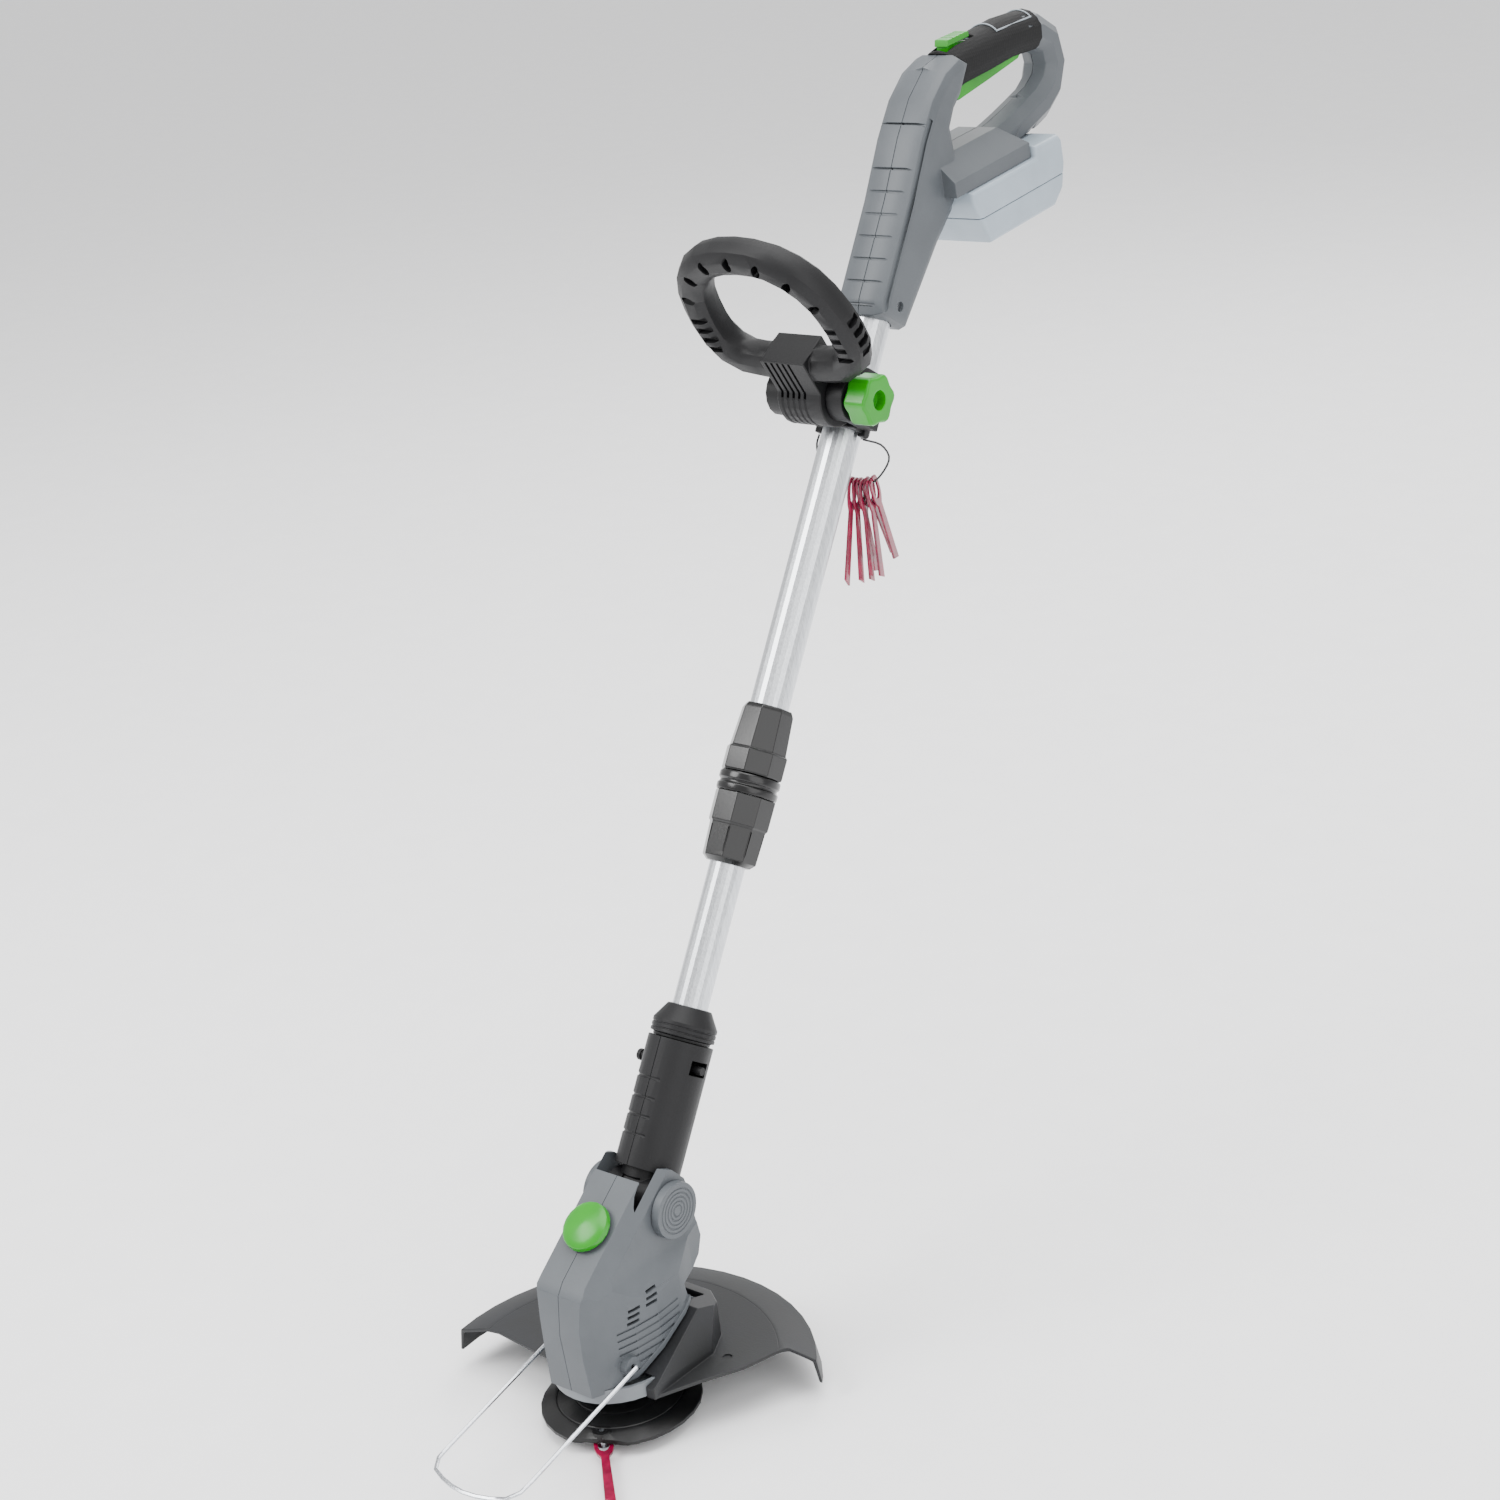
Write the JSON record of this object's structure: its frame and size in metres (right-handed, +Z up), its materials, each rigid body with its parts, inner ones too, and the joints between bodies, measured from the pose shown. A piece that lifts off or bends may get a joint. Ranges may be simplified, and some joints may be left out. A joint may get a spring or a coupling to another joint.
{
  "type": "string trimmer",
  "caption": "Cordless grass trimmer with a swinging plastic blade, tilting motor head, wire plant guard, telescopic shaft, front loop handle, rear D grip and slide-on battery.",
  "frame": {"origin": "centre of the glide cap's flat bottom, on the cutter's spin axis", "axes": "+Z up along the cutter's spin axis, -Y forward towards the wire plant guard, +X to the user's right"},
  "size_m": [0.2585, 0.8074, 0.8616],
  "materials": {
    "housing_grey": "fine moulded grain",
    "base_silver": "satin",
    "disc_black": "satin",
    "guard_grey": "fine moulded grain",
    "black_plastic": "moulded grain",
    "gloss_black": "semi-gloss",
    "collet_white": "satin",
    "tube_aluminium": "satin anodised, drawn lengthwise",
    "steel": "bright",
    "wire_steel": "bright plated",
    "green_plastic": "satin gloss",
    "blade_crimson": "translucent gloss",
    "cord_black": "matt",
    "grip_rubber": "soft-touch matt",
    "board_green": "lacquered",
    "battery_pale": "satin",
    "latch_grey": "satin",
    "cell_blue": "shrink-wrapped"
  },
  "bodies": {
    "handle": {"rear_housing_left": "housing_grey", "rear_housing_right": "housing_grey", "grip_cover": "grip_rubber", "trigger_pin": "steel", "trigger_switch": "black_plastic", "trigger_spring": "steel", "housing_screw_tube": "steel", "housing_screw_neck": "steel", "control_board": "board_green", "upper_tube": "tube_aluminium", "coupler_body": "gloss_black", "coupler_ring": "gloss_black", "collet": "collet_white", "coiled_lead": "cord_black"},
    "trigger": {"trigger": "green_plastic"},
    "lock_off": {"lock_off_button": "green_plastic"},
    "battery": {"battery_case_lower": "battery_pale", "battery_case_upper": "battery_pale", "battery_cells": "cell_blue"},
    "battery_release": {"battery_latch": "latch_grey"},
    "clamp": {"handle_clamp": "black_plastic", "clamp_bolt": "steel", "spare_blade_cord": "cord_black", "spare_blade_1": "blade_crimson", "spare_blade_2": "blade_crimson", "spare_blade_3": "blade_crimson", "spare_blade_4": "blade_crimson", "spare_blade_5": "blade_crimson", "spare_blade_6": "blade_crimson", "spare_blade_7": "blade_crimson"},
    "loop": {"front_handle": "black_plastic"},
    "knob": {"clamp_knob": "green_plastic"},
    "length_lock": {"clamp_nut": "gloss_black"},
    "lower": {"lower_tube": "tube_aluminium", "sleeve_collar": "black_plastic", "swivel_bush": "guard_grey"},
    "sleeve": {"sleeve_left": "black_plastic", "sleeve_right": "black_plastic", "tilt_knuckle": "black_plastic"},
    "rotation_lock": {"rotation_lock_pin": "black_plastic"},
    "head": {"motor_casing_left": "housing_grey", "motor_casing_right": "housing_grey", "motor_base": "base_silver", "motor_can": "steel", "motor_cradle": "guard_grey", "lower_bearing": "steel", "pivot_axle": "steel", "pivot_cap_left": "housing_grey", "pivot_cap_right": "housing_grey", "tilt_spring": "steel", "guard": "guard_grey"},
    "tilt_release": {"tilt_button": "green_plastic"},
    "cutter": {"cutter_disc": "disc_black", "blade_pin": "steel", "glide_cap": "disc_black", "motor_shaft": "steel"},
    "blade": {"cutting_blade": "blade_crimson"},
    "wire": {"wire_guard": "wire_steel"}
  },
  "joints": [
    {"name": "trigger_pull", "type": "hinge", "parent": "handle", "child": "trigger", "pos_m": [0, 0.59, 0.8376], "axis": [-1, 0, 0], "range_deg": [0, 4.5], "stiffness_Nm_per_rad": 0.6, "deforming": ["trigger_spring"]},
    {"name": "lock_off_press", "type": "slide", "parent": "handle", "child": "lock_off", "axis": [0, 0.1045, -0.9945], "range_m": [0, 0.0028], "stiffness_N_per_m": 600},
    {"name": "battery_slide", "type": "slide", "parent": "handle", "child": "battery", "axis": [0, 0.9945, 0.1045], "range_m": [0, 0.09]},
    {"name": "battery_latch_press", "type": "slide", "parent": "battery", "child": "battery_release", "axis": [0, 0.1045, -0.9945], "range_m": [0, 0.003], "stiffness_N_per_m": 800},
    {"name": "handle_height", "type": "slide", "parent": "handle", "child": "clamp", "axis": [0, 0.5519, 0.8339], "range_m": [-0.1, 0.03]},
    {"name": "loop_angle", "type": "hinge", "parent": "clamp", "child": "loop", "pos_m": [0, 0.32843, 0.64385], "axis": [1, 0, 0], "range_deg": [-40, 55]},
    {"name": "knob_turn", "type": "hinge", "parent": "clamp", "child": "knob", "pos_m": [0, 0.32843, 0.64385], "axis": [1, 0, 0], "continuous": true},
    {"name": "length_lock_turn", "type": "hinge", "parent": "handle", "child": "length_lock", "pos_m": [0, 0.18789, 0.36391], "axis": [0, 0.5519, 0.8339], "range_deg": [-60, 0]},
    {"name": "tube_length", "type": "slide", "parent": "handle", "child": "lower", "axis": [0, 0.5519, 0.8339], "range_m": [-0.095, 0.095]},
    {"name": "edging_turn", "type": "hinge", "parent": "lower", "child": "sleeve", "pos_m": [0, 0.0444, 0.1471], "axis": [0, 0.5519, 0.8339], "range_deg": [0, 180]},
    {"name": "rotation_lock_press", "type": "slide", "parent": "sleeve", "child": "rotation_lock", "axis": [1, 0, 0], "range_m": [0, 0.0028], "stiffness_N_per_m": 700},
    {"name": "head_tilt", "type": "hinge", "parent": "sleeve", "child": "head", "pos_m": [0, 0.0444, 0.1471], "axis": [1, 0, 0], "range_deg": [-17, 39]},
    {"name": "tilt_release_press", "type": "slide", "parent": "head", "child": "tilt_release", "axis": [0, 0.599, -0.8007], "range_m": [0, 0.0012], "stiffness_N_per_m": 900, "deforming": ["tilt_spring"]},
    {"name": "cutter_spin", "type": "hinge", "parent": "head", "child": "cutter", "pos_m": [0, 0, 0], "axis": [0, 0, 1], "continuous": true},
    {"name": "blade_swing", "type": "hinge", "parent": "cutter", "child": "blade", "pos_m": [0.01986, -0.0426, 0.0066], "axis": [0, 0, 1], "range_deg": [-100, 58]},
    {"name": "wire_lift", "type": "hinge", "parent": "head", "child": "wire", "pos_m": [0, -0.0195, 0.0592], "axis": [-1, 0, 0], "range_deg": [0, 75]}
  ]
}
